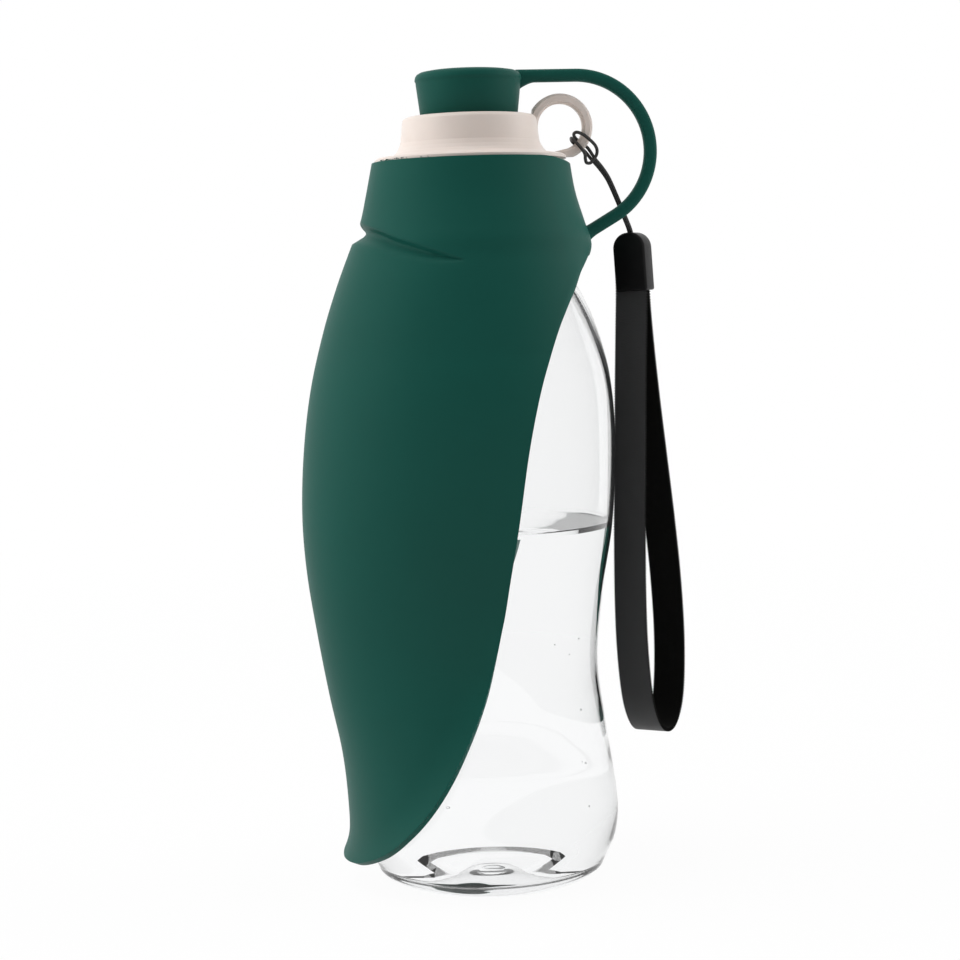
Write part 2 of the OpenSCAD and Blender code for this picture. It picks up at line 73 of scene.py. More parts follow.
# ---------------------------------------------------------------------------------------------
# Lanyard cord: 1 mm black waxed polyester. Its middle goes behind the ring's bar, forward through
# the hole, out over the bar and round both strands, a hitch that is not drawn tight. Both ends
# are glued into the ferrule.
def new_finish(name, colour, roughness):
    """A material with its one Principled shader; returns it, the shader and the node tree."""
    finish = bpy.data.materials.new(name)
    finish.use_nodes = True
    tree = finish.node_tree
    shader = tree.nodes["Principled BSDF"]
    shader.inputs["Base Color"].default_value = (*colour, 1)
    shader.inputs["Roughness"].default_value = roughness
    return finish, shader, tree


def add_node(tree, kind, values=(), **settings):
    """A new node, with values on its inputs and settings of its own."""
    node = tree.nodes.new(kind)
    for key, value in settings.items():
        setattr(node, key, value)
    for socket, value in dict(values).items():
        node.inputs[socket].default_value = value
    return node


def shape_as(piece, finish, smooth_angle=None):
    """Gives a mesh its one material and its smooth shading."""
    piece.data.materials.clear()
    piece.data.materials.append(finish)
    bpy.ops.object.select_all(action="DESELECT")
    piece.select_set(True)
    bpy.context.view_layer.objects.active = piece
    if smooth_angle is None:
        bpy.ops.object.shade_smooth()
    else:
        bpy.ops.object.shade_smooth_by_angle(angle=math.radians(smooth_angle))


def surface_grain():
    """Fine moulded grain: a height for a Bump node and a soft mottle from 0 to 1."""
    group = bpy.data.node_groups.new("moulded grain", "ShaderNodeTree")
    group.interface.new_socket("Grain per Metre", in_out="INPUT", socket_type="NodeSocketFloat")
    group.interface.new_socket("Mottle per Metre", in_out="INPUT", socket_type="NodeSocketFloat")
    group.interface.new_socket("Height", in_out="OUTPUT", socket_type="NodeSocketFloat")
    group.interface.new_socket("Mottle", in_out="OUTPUT", socket_type="NodeSocketFloat")
    given, result = add_node(group, "NodeGroupInput"), add_node(group, "NodeGroupOutput")
    place = add_node(group, "ShaderNodeTexCoord")
    for speed, output, detail in (("Grain per Metre", "Height", 3), ("Mottle per Metre", "Mottle", 2)):
        noise = add_node(group, "ShaderNodeTexNoise", {"Detail": detail, "Roughness": 0.6})
        group.links.new(place.outputs["Object"], noise.inputs["Vector"])
        group.links.new(given.outputs[speed], noise.inputs["Scale"])
        group.links.new(noise.outputs["Fac"], result.inputs[output])
    return group


grain_group = surface_grain()


def add_grain(tree, shader, per_metre, depth, mottle, dark, light, rough):
    """Joins the grain group to a shader: bump, two colours of mottle and two roughnesses."""
    grain = add_node(tree, "ShaderNodeGroup", node_tree=grain_group)
    grain.inputs["Grain per Metre"].default_value = per_metre
    grain.inputs["Mottle per Metre"].default_value = mottle
    bump = add_node(tree, "ShaderNodeBump", {"Strength": 0.6, "Distance": depth})
    tree.links.new(grain.outputs["Height"], bump.inputs["Height"])
    tree.links.new(bump.outputs["Normal"], shader.inputs["Normal"])
    tint = add_node(tree, "ShaderNodeMix", data_type="RGBA")
    tint.inputs["A"].default_value = (*dark, 1)
    tint.inputs["B"].default_value = (*light, 1)
    tree.links.new(grain.outputs["Mottle"], tint.inputs["Factor"])
    tree.links.new(tint.outputs["Result"], shader.inputs["Base Color"])
    gloss = add_node(tree, "ShaderNodeMapRange", {"To Min": rough[0], "To Max": rough[1]})
    tree.links.new(grain.outputs["Mottle"], gloss.inputs["Value"])
    tree.links.new(gloss.outputs["Result"], shader.inputs["Roughness"])


cord_width, cord_finesse = 0.001, 6
cord_route = [
    (0.0487, 0.0063, 0.188), (0.0484, 0.006, 0.192), (0.0469, 0.0054, 0.1959), (0.0451, 0.0049, 0.2002),
    (0.0434, 0.0044, 0.2041), (0.0415, 0.0039, 0.2079), (0.0392, 0.0035, 0.211), (0.0368, 0.0031, 0.2137),
    (0.0349, 0.0026, 0.2159), (0.033, 0.0024, 0.2173), (0.0311, 0.0022, 0.2188), (0.0304, 0.0001, 0.2197),
    (0.0307, -0.0019, 0.219), (0.0319, -0.0024, 0.2177), (0.0335, -0.0024, 0.2157),
    (0.0342, -0.0012, 0.2146), (0.0345, 0.0001, 0.2135), (0.035, 0.001, 0.2125), (0.0362, 0.0012, 0.2124),
    (0.0371, 0.0008, 0.2134), (0.0379, 0.0004, 0.2146), (0.038, -0.0004, 0.216), (0.0372, -0.0016, 0.2174),
    (0.0356, -0.0024, 0.2189), (0.0336, -0.0024, 0.2205), (0.0318, -0.0019, 0.2213),
    (0.0312, 0.0001, 0.2209), (0.0321, 0.0021, 0.2198), (0.0339, 0.0024, 0.2183), (0.0358, 0.0023, 0.2168),
    (0.0377, 0.002, 0.2138), (0.0399, 0.0024, 0.2112), (0.042, 0.0029, 0.2081), (0.0438, 0.0034, 0.2043),
    (0.0455, 0.0039, 0.2004), (0.0473, 0.0044, 0.1961), (0.0489, 0.005, 0.1921), (0.0497, 0.0055, 0.188),
]


def point_on(route, place):
    """A smooth curve through a route's points, as the solids use; place counts points."""
    i = min(len(route) - 2, int(place))
    t = place - i
    before, a, b, after = (Vector(route[max(0, min(len(route) - 1, i + k))]) for k in (-1, 0, 1, 2))
    return (
        a * (2 * t**3 - 3 * t * t + 1) + (b - before) / 2 * (t**3 - 2 * t * t + t)
        + b * (3 * t * t - 2 * t**3) + (after - a) / 2 * (t**3 - t * t)
    )


bpy.ops.object.select_all(action="DESELECT")
bpy.ops.curve.primitive_nurbs_path_add()
cord = bpy.context.active_object
cord.name = "waxed_cord"
cord.data.splines.clear()
cord_line = cord.data.splines.new("POLY")
cord_steps = cord_finesse * (len(cord_route) - 1)
cord_line.points.add(cord_steps)
for step in range(cord_steps + 1):
    cord_line.points[step].co = (*point_on(cord_route, step / cord_finesse), 1)
cord.data.bevel_depth = cord_width / 2
cord.data.bevel_resolution = 4
cord.data.use_fill_caps = True
black_wax, wax, wax_tree = new_finish("waxed cord", (0.012, 0.011, 0.011), 0.42)
add_grain(wax_tree, wax, 5200, 0.0001, 900, (0.007, 0.007, 0.007), (0.02, 0.017, 0.016), (0.34, 0.52))
cord.data.materials.append(black_wax)
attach(cord, "lanyard")
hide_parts("lanyard_cord")

# ---------------------------------------------------------------------------------------------
# Bottle: stretch-blown clear polyester, 1 mm thick, with a waist to squeeze and a pushed-up foot
# whose ring it stands on. The wall thickens over the shoulder to the injection-moulded neck with
# its bead.
foot_radius, foot_flat, wall, neck_wall = 0.026, 0.0015, 0.001, 0.0022
neck_radius, neck_foot, neck_top = 0.0225, 0.190, 0.208
# the wall grows by shoulder_wall over a climb of shoulder_rise
shoulder_wall, shoulder_start, shoulder_rise = 0.0013, 0.142, 0.034
dome_height, dome_spread, dome_steps = 0.006, 1.15, 24
heel_bend, heel_steps, heel_wall = 1.5, 16, 0.6
gate_radius, gate_depth = 0.003, 0.0008
body_line = [
    (0.004, 0.0342), (0.012, 0.0378), (0.022, 0.0387), (0.044, 0.0359), (0.064, 0.0337),
    (0.084, 0.03555), (0.106, 0.0392), (0.132, 0.0406), (0.150, 0.0394), (0.163, 0.0362),
    (0.174, 0.0317), (0.183, 0.0259), (0.190, 0.0225),
]


def along(line, x):
    """A smooth value at x through (place, value) pairs, with the mean slope at each inner pair."""
    def slope(k):
        a, b = line[max(0, k - 1)], line[min(len(line) - 1, k + 1)]
        return (b[1] - a[1]) / (b[0] - a[0])

    i = 0
    while i < len(line) - 2 and x >= line[i + 1][0]:
        i += 1
    width = line[i + 1][0] - line[i][0]
    t = (x - line[i][0]) / width
    return (
        line[i][1] * (2 * t**3 - 3 * t * t + 1) + slope(i) * width * (t**3 - 2 * t * t + t)
        + line[i + 1][1] * (3 * t * t - 2 * t**3) + slope(i + 1) * width * (t**3 - t * t)
    )


def eased(t):
    t = min(1, max(0, t))
    return t * t * (3 - 2 * t)


def turned(name, profile, steps=144):
    """Turns a profile of (radius, height) points about the bottle's axis, as on a lathe."""
    bpy.ops.object.select_all(action="DESELECT")
    bpy.ops.mesh.primitive_plane_add(size=0.001)
    piece = bpy.context.active_object
    piece.name = name
    bpy.ops.object.mode_set(mode="EDIT")
    bpy.ops.mesh.select_all(action="SELECT")
    bpy.ops.mesh.merge(type="CENTER")
    bpy.ops.transform.translate(value=(profile[0][0], 0, profile[0][1]))
    for a, b in zip(profile, profile[1:]):
        bpy.ops.mesh.extrude_vertices_move(
            TRANSFORM_OT_translate={"value": (b[0] - a[0], 0, b[1] - a[1])}
        )
    bpy.ops.mesh.select_all(action="SELECT")
    bpy.ops.mesh.spin(steps=steps, angle=2 * math.pi, center=(0, 0, 0), axis=(0, 0, 1))
    bpy.ops.mesh.select_all(action="SELECT")
    bpy.ops.mesh.remove_doubles(threshold=0.000004)
    bpy.ops.mesh.normals_make_consistent(inside=False)
    bpy.ops.object.mode_set(mode="OBJECT")
    return piece


def heel(t):
    """The foot's outer corner, from the standing ring up to the side wall."""
    return foot_radius + foot_flat + (body_line[0][1] - foot_radius - foot_flat) * (
        1 - (1 - t) ** heel_bend
    ), body_line[0][0] * t**heel_bend


def dome(t):
    """The dome inside the standing ring, from the ring at 0 to the middle at 1."""
    return (foot_radius - foot_flat) * (1 - t), dome_height * eased(t * dome_spread)


def wall_at(z):
    return wall + shoulder_wall * eased((z - shoulder_start) / shoulder_rise)


def heel_inside(k, gap=0):
    """The heel's inner face, where the wall is thinner sideways; gap leaves room for the water."""
    radius, height = heel(k / heel_steps)
    return radius - heel_wall * wall + gap, height + wall - gap


def dome_inside(k, gap=0):
    radius, height = dome(k / dome_steps)
    return radius, height + wall - gap


body_heights = [0.004 + 0.186 * k / 110 for k in range(111)]
outer_profile = (
    [(0, dome_height - gate_depth), (gate_radius - 0.0004, dome_height - gate_depth)]
    + [(gate_radius, dome_height - gate_depth / 2)]
    + [dome(k / dome_steps) for k in range(20, 0, -1)]
    + [(foot_radius - foot_flat, 0.0001), (foot_radius - 0.001, 0), (foot_radius + 0.001, 0)]
    + [heel(k / heel_steps) for k in range(heel_steps)]
    + [(along(body_line, z), z) for z in body_heights]
)
neck_profile = [
    (neck_radius, 0.1875), (0.0246, 0.1882), (0.0246, 0.1898), (neck_radius, 0.1905),
    (neck_radius, neck_top - 0.0006), (neck_radius - 0.0005, neck_top),
    (neck_radius - neck_wall + 0.0005, neck_top), (neck_radius - neck_wall, neck_top - 0.0005),
    (neck_radius - neck_wall, neck_foot + 0.002),
]
inner_profile = (
    [(along(body_line, z) - wall_at(z), z) for z in reversed(body_heights[:-1])]
    + [heel_inside(k) for k in range(heel_steps - 1, 0, -2)]
    + [(foot_radius, wall)]
    + [dome_inside(k) for k in range(1, dome_steps)]
    + [(0, dome_height + wall)]
)
# the neck's own profile takes over just below its bead
outer_profile = [p for p in outer_profile if p[1] < 0.1873]
bottle = turned("clear_bottle", outer_profile + neck_profile + inner_profile)


def new_clear(name, colour, index):
    """A smooth clear material with its index of refraction."""
    finish, shader, _ = new_finish(name, colour, 0.0)
    shader.inputs["Transmission Weight"].default_value = 1
    shader.inputs["IOR"].default_value = index
    return finish


polyester_tint = (0.975, 0.978, 0.98)
shape_as(bottle, new_clear("clear polyester", polyester_tint, 1.5))

# under water the inner wall borders on water instead of air, so light is bent less there
water_top, wet = 0.1062, 0.0003
bottle.data.materials.append(new_clear("wetted polyester", polyester_tint, 1.128))
for face in bottle.data.polygons:
    outwards = face.center.x * face.normal.x + face.center.y * face.normal.y
    inner = face.normal.z > 0 if face.center.z < 0.012 else outwards < 0
    if inner and face.center.z < water_top:
        face.material_index = 1
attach(bottle, "bottle")
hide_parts("bottle")
bottle.visible_shadow = False

# ---------------------------------------------------------------------------------------------
# Water: fills the bottle to just under its middle. It wets the wall, so its skin lies a touch
# inside the plastic and its top turns up at the rim; a few small bubbles cling to the wall.
water_heights = [z for z in body_heights if 0.0045 < z < water_top - 0.002]
meniscus_rise, meniscus_reach = 0.0008, 0.0032
water_profile = (
    [(0, dome_height + wall - wet)]
    + [dome_inside(k, wet) for k in range(dome_steps - 1, 0, -1)]
    + [(foot_radius, wall - wet)]
    + [heel_inside(k, wet) for k in range(1, heel_steps, 2)]
    + [(along(body_line, z) - wall + wet, z) for z in water_heights]
    + [(along(body_line, water_top) - wall + wet, water_top + meniscus_rise)]
    + [
        (along(body_line, water_top) - wall - meniscus_reach * t, water_top + meniscus_rise * (1 - t) ** 3)
        for t in (0, 0.1, 0.25, 0.45, 0.7, 1)
    ]
    + [(0.02, water_top), (0.008, water_top), (0, water_top)]
)
water = turned("drinking_water", water_profile)
shape_as(water, new_clear("water", (1, 1, 1), 1.33), 50)
# at the wall the wetted plastic bends the light for both, so the water's own skin doesn't
water.data.materials.append(new_clear("water at the wall", (1, 1, 1), 1.0))
for face in water.data.polygons:
    if face.center.z < water_top - 0.0005 or face.normal.z < 0.2:
        face.material_index = 1
water.visible_shadow = False
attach(water, "bottle")

# ---------------------------------------------------------------------------------------------
# Bubbles: a few pinheads of air, 0.2 to 0.4 mm in radius, that cling to the inside of the
# bottle's wall under water.
def join_as(pieces, name):
    """Joins meshes into the first of them, names it and puts its place into the mesh."""
    bpy.ops.object.select_all(action="DESELECT")
    for piece in pieces:
        piece.select_set(True)
    bpy.context.view_layer.objects.active = pieces[0]
    bpy.ops.object.join()
    bpy.ops.object.transform_apply(location=True, rotation=True, scale=True)
    pieces[0].name = name


bubble_rng = random.Random(3)
bubbles = []
for _ in range(36):
    height, size = bubble_rng.uniform(0.012, 0.098), bubble_rng.uniform(0.00018, 0.0004)
    angle = bubble_rng.uniform(0, 2 * math.pi)
    off_axis = along(body_line, height) - wall - wet - size - 0.0002
    bpy.ops.mesh.primitive_ico_sphere_add(
        subdivisions=2, radius=size, location=(off_axis * math.cos(angle), off_axis * math.sin(angle), height)
    )
    bubbles.append(bpy.context.active_object)
join_as(bubbles, "air_bubbles")
shape_as(bubbles[0], new_clear("air in water", (1, 1, 1), 0.752))
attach(bubbles[0], "bottle")

# ---------------------------------------------------------------------------------------------
# Sealing ring: a flat ring, punched from soft white foam, that the cap presses on the mouth's
# rim. It can't be seen from outside.
foam, foam_shader, foam_tree = new_finish("sealing foam", (0.86, 0.86, 0.84), 0.7)
add_grain(foam_tree, foam_shader, 3000, 0.0002, 400, (0.8, 0.8, 0.78), (0.9, 0.9, 0.88), (0.6, 0.8))
shape_as(nodes["sealing_ring"], foam)

# ---------------------------------------------------------------------------------------------
# Screw cap: injection-moulded warm white polypropylene with a soft gloss, in one piece with the
# spout's drum and the lanyard's ring. It screws on the bottle's neck.
cap_plastic, cap_shader, cap_tree = new_finish("cap polypropylene", (0.68, 0.6, 0.55), 0.34)
cap_shader.inputs["Subsurface Weight"].default_value = 0.12
cap_shader.inputs["Subsurface Radius"].default_value = (0.0016, 0.0011, 0.0009)
add_grain(
    cap_tree, cap_shader, 2600, 0.00004, 160, (0.655, 0.577, 0.527), (0.705, 0.623, 0.573), (0.3, 0.4)
)
shape_as(nodes["screw_cap"], cap_plastic, 35)

# ---------------------------------------------------------------------------------------------
# Leaf: compression-moulded matte green silicone, 2.3 mm thick, in one piece with its sleeve,
# which is stretched over the cap. A groove under the sleeve is where the leaf folds up.
leaf_wall, leaf_gap, fold_height, leaf_top = 0.0023, 0.0015, 0.193, 0.2136
reach_line = [
    (0, 0.0425), (0.0075, 0.0428), (0.02, 0.0425), (0.038, 0.0438), (0.057, 0.0473),
    (0.076, 0.0503), (0.094, 0.0526), (0.111, 0.0533), (0.130, 0.0521), (0.148, 0.0494),
    (0.165, 0.045), (0.178, 0.0406), (0.188, 0.0366), (0.192, 0.0349), (0.197, 0.0329),
    (0.204, 0.0312), (0.2136, 0.0291),
]
side_line = [
    (0.158, along(body_line, 0.158) + leaf_gap + leaf_wall), (0.166, 0.0402), (0.174, 0.0386),
    (0.181, 0.0369), (0.186, 0.0354), (0.1905, 0.0347), (0.195, 0.0332), (0.204, 0.0306),
    (0.2136, 0.0291),
]
edge_line = [
    (0, 0.0075), (18, 0.009), (34, 0.0129), (44, 0.0174), (55.5, 0.0254), (65.5, 0.0358),
    (75.5, 0.0501), (82.7, 0.0626), (90.2, 0.0829), (93.4, 0.0972), (95.8, 0.1085), (99.8, 0.1283),
    (103.4, 0.1405), (107.6, 0.1501), (112.8, 0.1579), (118.1, 0.1646), (124, 0.1699),
    (130.6, 0.1746), (140.7, 0.1808), (158, 0.1846), (180, 0.185),
]
edge_turn = [(z, a) for a, z in edge_line if a <= 124]
crease_line = [
    (0, fold_height), (15, 0.1926), (29, 0.1916), (41, 0.1898), (53, 0.188), (63, 0.1863),
    (77, 0.1844), (102, 0.182),
]
sleeve_foot, side_top, hip_height = 102, 0.158, 0.022
groove_depth, groove_end, groove_up, groove_down = 0.003, 78, 0.0040, 0.0026
lip_out, lip_width, lip_foot, lip_middle, lip_end = 0.0018, 0.008, 0.020, 0.110, 0.168


def leaf_side(z):
    """The leaf's half width across the bottle: its own line on top, the bottle's below."""
    if z > side_top:
        return along(side_line, z)
    return along(body_line, max(z, hip_height)) + leaf_gap + leaf_wall


def crease_at(angle):
    return along(crease_line, min(sleeve_foot, abs(angle)))


def groove(angle, above):
    """How deep the fold's groove is at an angle and a height above the crease."""
    t = abs(angle) / groove_end
    if t >= 1:
        return 0
    depth = groove_depth * math.cos(math.pi / 2 * t) ** 0.6
    if above > 0:
        reach = groove_up * (1 - 0.3 * math.sin(math.pi * t)) * max(0.15, 1 - t**3)
        return depth * (1 - eased(above / reach))
    # the lower flank is a ledge that comes out to the blade in a small round
    reach = groove_down * (1 + 0.15 * math.sin(math.pi * t)) * max(0.1, 1 - t**6)
    share = max(0, 1 - (-above / reach) ** 1.7)
    return depth * 1.1 * share * share / (share + 0.1)


def lip(angle, z):
    """How far the skin turns out near the lower edge, which fades on the way up."""
    if z > lip_end:
        return 0
    turned_by = along(edge_turn, max(z, edge_turn[0][0])) - abs(angle)
    sideways = max(0, turned_by) * leaf_side(z) * math.pi / 180
    upwards = max(0, z - along(edge_line, abs(angle)))
    reach = sideways * upwards / max(0.00001, math.hypot(sideways, upwards))
    fade = 1 - 0.8 * eased((z - lip_foot) / (lip_middle - lip_foot))
    last = 1 - eased((z - lip_middle) / (lip_end - lip_middle))
    return lip_out * fade * last * max(0, 1 - reach / lip_width) ** 2


def on_leaf(angle, z):
    """The leaf's outer skin at an angle from -X, in degrees, and a height."""
    # low down the rear half reaches further round, and the rear edge is drawn in at the collar
    turned_to = angle if angle > 0 else angle * (1 + 0.12 * eased((0.172 - z) / 0.075))
    c, s = math.cos(math.radians(turned_to)), math.sin(math.radians(turned_to))
    fore = along(reach_line, z) if c > 0 else leaf_side(z)
    r = 1 / math.hypot(c / fore, s / leaf_side(z)) - groove(angle, z - crease_at(angle)) + lip(angle, z)
    if angle < 0:
        r += 0.0016 * eased((-angle - 50) / 30) * eased((0.135 - z) / 0.03) * eased((z - 0.03) / 0.03)
    if abs(angle) > 112:
        drawn_in = 0.0005 * eased((abs(angle) - 112) / 18) + 0.0008 * eased((abs(angle) - 138) / 25)
        r -= drawn_in * max(0, 1 - (z - along(edge_line, abs(angle))) / 0.0036) ** 2
    return Vector((-r * c, -r * s, z))


# places along the lower edge, from the tip round to the back, at even steps of its length
edge_angles = [k / 4 for k in range(721)]
edge_points = [on_leaf(angle, along(edge_line, angle)) for angle in edge_angles]
edge_walk, walked = [(0, 0.0)], 0.0
for angle, a, b in zip(edge_angles[1:], edge_points, edge_points[1:]):
    walked += (b - a).length
    edge_walk.append((walked, angle))


def edge_angle(share):
    """The angle of the lower edge at a share, from 0 to 1, of the way to the back."""
    target = abs(share) * walked
    for (a, p), (b, q) in zip(edge_walk, edge_walk[1:]):
        if b >= target:
            return math.copysign(p + (q - p) * (target - a) / (b - a), share)
    return math.copysign(180, share)


def crowded(t):
    """Moves even steps from 0 to 1 closer to both ends."""
    return 0.35 * t + 0.65 * eased(t)


leaf_columns, leaf_rows, crease_row = 260, 140, 0.6
bpy.ops.object.select_all(action="DESELECT")
bpy.ops.mesh.primitive_grid_add(x_subdivisions=leaf_columns, y_subdivisions=leaf_rows, size=2)
leaf = bpy.context.active_object
leaf.name = "silicone_leaf"
feet = {}
for vertex in leaf.data.vertices:
    share, rise = vertex.co.x, (vertex.co.y + 1) / 2
    key = round(share, 5)
    if key not in feet:
        feet[key] = edge_angle(share)
    low_angle = feet[key]
    low = along(edge_line, abs(low_angle))
    # the rows below the fold and above it crowd towards the groove and the lip
    angle = low_angle + (180 * share - low_angle) * eased(rise)
    low = max(low, along(edge_line, abs(angle)))
    middle = low + (leaf_top - low) * 0.5
    bend_angle = low_angle + (180 * share - low_angle) * eased(crease_row)
    crease = crease_at(angle) + (middle - crease_at(angle)) * eased((abs(bend_angle) - 80) / 34)
    if rise < crease_row:
        z = low + (crease - low) * crowded(rise / crease_row)
    else:
        # the sleeve's rim droops where the tether pulls at it
        rim_top = leaf_top - 0.0017 * eased((abs(angle) - 125) / 45)
        z = crease + (rim_top - crease) * (rise - crease_row) / (1 - crease_row)
    vertex.co = on_leaf(angle, z)
bpy.ops.object.mode_set(mode="EDIT")
bpy.ops.mesh.select_all(action="SELECT")
bpy.ops.mesh.remove_doubles(threshold=0.00002)
bpy.ops.mesh.normals_make_consistent(inside=False)
bpy.ops.object.mode_set(mode="OBJECT")
skin = leaf.modifiers.new("wall", "SOLIDIFY")
skin.thickness, skin.offset = leaf_wall, -1
bpy.ops.object.modifier_apply(modifier="wall")
rim = leaf.modifiers.new("rim", "BEVEL")
rim.width, rim.segments, rim.limit_method, rim.angle_limit = 0.00095, 4, "ANGLE", math.radians(55)
bpy.ops.object.modifier_apply(modifier="rim")

silicone, silicone_shader, silicone_tree = new_finish("green silicone", (0.004, 0.064, 0.049), 0.5)
silicone_shader.inputs["Specular IOR Level"].default_value = 0.12
add_grain(
    silicone_tree, silicone_shader, 5200, 0.00006, 28,
    (0.0035, 0.059, 0.045), (0.0045, 0.069, 0.053), (0.46, 0.54),
)
shape_as(leaf, silicone)
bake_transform(leaf)
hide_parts("leaf_collar", "leaf_blade")

# ---------------------------------------------------------------------------------------------
# Flash: crumbs of the green silicone, torn from the sleeve's upper edge when the cap was pushed
# in, that cling to the front of the flange.
flange_radius = 0.0283
crumbs_rng = random.Random(7)
crumbs = []
for _ in range(22):
    angle, size = math.radians(crumbs_rng.uniform(14, 58)), crumbs_rng.uniform(0.00012, 0.00026)
    height = leaf_top + crumbs_rng.uniform(0, 0.0004)
    spot = Vector((-flange_radius * math.cos(angle), -flange_radius * math.sin(angle), height))
    bpy.ops.mesh.primitive_ico_sphere_add(subdivisions=1, radius=size, location=spot)
    crumb = bpy.context.active_object
    crumb.scale = (crumbs_rng.uniform(0.8, 1.8), 1, crumbs_rng.uniform(0.6, 1.1))
    crumb.rotation_euler.z = angle
    crumbs.append(crumb)
join_as(crumbs, "silicone_flash")
shape_as(crumbs[0], silicone)
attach(crumbs[0], "cap")

# ---------------------------------------------------------------------------------------------
# Stopper: the leaf's own silicone, a drafted head with a thin rim and a low crown over a hollow
# plug that wedges in the spout. A short stub on its rim carries the tether.
head_top, head_radius, head_foot, drum_top = 0.240, 0.0157, 0.01429, 0.2266
plug_radius, plug_taper, plug_depth, plug_wall = 0.013889, 0.165, 0.012, 0.0024
plug_tip = plug_radius - plug_taper * plug_depth
stopper_profile = [
    (0, head_top + 0.0004), (0.005, head_top + 0.0003), (0.0095, head_top), (0.0125, head_top - 0.0003),
    (0.0142, head_top - 0.0006), (0.0151, head_top - 0.0011), (0.0155, head_top - 0.0017),
    (head_radius, head_top - 0.0025), (head_radius, head_top - 0.0029), (0.01545, head_top - 0.0033),
    (0.0154, head_top - 0.004), (head_foot + 0.0001, drum_top + 0.0007),
    (head_foot - 0.0002, drum_top + 0.0003), (plug_radius, drum_top + 0.0003),
    (plug_tip, drum_top - plug_depth), (plug_tip - plug_wall, drum_top - plug_depth),
    (plug_radius - plug_wall, drum_top + 0.001), (0, drum_top + 0.001),
]
stopper = turned("silicone_stopper", stopper_profile, 128)
shape_as(stopper, silicone, 32)
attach(stopper, "stopper")
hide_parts("stopper")

# ---------------------------------------------------------------------------------------------
# Tether: a band of the same moulding, 3.8 by 4 mm with a rounded outer face, that runs from the
# stopper's rim in a bow back to the sleeve and keeps the stopper on the bottle.
tether_height, bow_radius, bow_centre, bow_end = 0.2381, 0.0222, Vector((0.032, 0, 0.2159)), -60
band_half, band_side, ring_points = 0.0019, 0.002, 24
tether_route = [Vector((0.0142 + 0.0006 * k, 0, tether_height)) for k in range(10)]
tether_route += [
    bow_centre + bow_radius * Vector((math.cos(math.radians(a)), 0, math.sin(math.radians(a))))
    for a in range(90, bow_end - 1, -3)
]
tether_end = tether_route[-1]
run_out = Vector((math.sin(math.radians(bow_end)), 0, -math.cos(math.radians(bow_end))))
tether_route += [tether_end + run_out * d for d in (0.003, 0.006, 0.008, 0.009, 0.0098, 0.0106, 0.0112)]
bpy.ops.object.select_all(action="DESELECT")
bpy.ops.mesh.primitive_cylinder_add(vertices=ring_points, radius=band_half, depth=0.004)
tether = bpy.context.active_object
tether.name = "silicone_tether"
bpy.ops.object.mode_set(mode="EDIT")
bpy.ops.mesh.select_all(action="SELECT")
bpy.ops.mesh.delete(type="VERT")
bpy.ops.object.mode_set(mode="OBJECT")
tether_vertices, tether_faces = [], []
for i, centre in enumerate(tether_route):
    heading = (
        tether_route[min(len(tether_route) - 1, i + 1)] - tether_route[max(0, i - 1)]
    ).normalized()
    out = Vector((-heading.z, 0, heading.x))
    # a web under the stub, and a small flare where the band grows from the sleeve
    web = 0.0026 * max(0, 1 - (centre - tether_route[0]).length / 0.0056) ** 1.6
    flare = 0.0007 * max(0, 1 - (centre - tether_route[-1]).length / 0.0034) ** 2
    for k in range(ring_points):
        a = 2 * math.pi * k / ring_points
        c, s = math.cos(a), math.sin(a)
        thick = band_half * math.copysign(abs(c) ** (0.75 if c > 0 else 0.45), c)
        wide = band_side * math.copysign(abs(s) ** 0.6, s) * (1 if c > -0.2 else 1 - 0.4 * (-0.2 - c))
        thick += math.copysign(flare, c) - (web if c < -0.2 else 0)
        tether_vertices.append(centre + out * thick + Vector((0, wide * (1 + flare / band_side), 0)))
for i in range(len(tether_route) - 1):
    for k in range(ring_points):
        m = (k + 1) % ring_points
        tether_faces.append(
            (i * ring_points + k, i * ring_points + m, (i + 1) * ring_points + m, (i + 1) * ring_points + k)
        )
tether_faces += [
    tuple(range(ring_points)),
    tuple(reversed(range((len(tether_route) - 1) * ring_points, len(tether_route) * ring_points))),
]
tether.data.from_pydata(tether_vertices, [], tether_faces)
bpy.ops.object.mode_set(mode="EDIT")
bpy.ops.mesh.select_all(action="SELECT")
bpy.ops.mesh.normals_make_consistent(inside=False)
bpy.ops.object.mode_set(mode="OBJECT")
shape_as(tether, silicone, 50)
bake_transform(tether)
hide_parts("tether")

# ---------------------------------------------------------------------------------------------
# Ferrule: a black soft plastic clip, an arch from the front, moulded round the cord's two ends
# and open below, where the strap's ends are glued in.
hang, hang_turn = Vector((0.0492, 0.006, 0)), math.radians(-35)
hang_place = Matrix.Translation(hang) @ Matrix.Rotation(hang_turn, 4, "Z")
ferrule_size, ferrule_foot = (0.0102, 0.0064, 0.0176), 0.174
bpy.ops.object.select_all(action="DESELECT")
bpy.ops.mesh.primitive_cube_add(size=1)
ferrule = bpy.context.active_object
ferrule.name = "soft_ferrule"
ferrule.scale = ferrule_size
ferrule.location.z = ferrule_foot + ferrule_size[2] / 2
bpy.ops.object.transform_apply(location=True, rotation=True, scale=True)


def select_edges(piece, wanted):
    """In edit mode, selects the edges whose two ends pass a test, and nothing else."""
    bpy.ops.object.mode_set(mode="EDIT")
    bpy.ops.mesh.select_mode(type="EDGE")
    bpy.ops.mesh.select_all(action="DESELECT")
    bpy.ops.object.mode_set(mode="OBJECT")
    for edge in piece.data.edges:
        a, b = (piece.data.vertices[v].co for v in edge.vertices)
        edge.select = wanted(a, b)
    bpy.ops.object.mode_set(mode="EDIT")


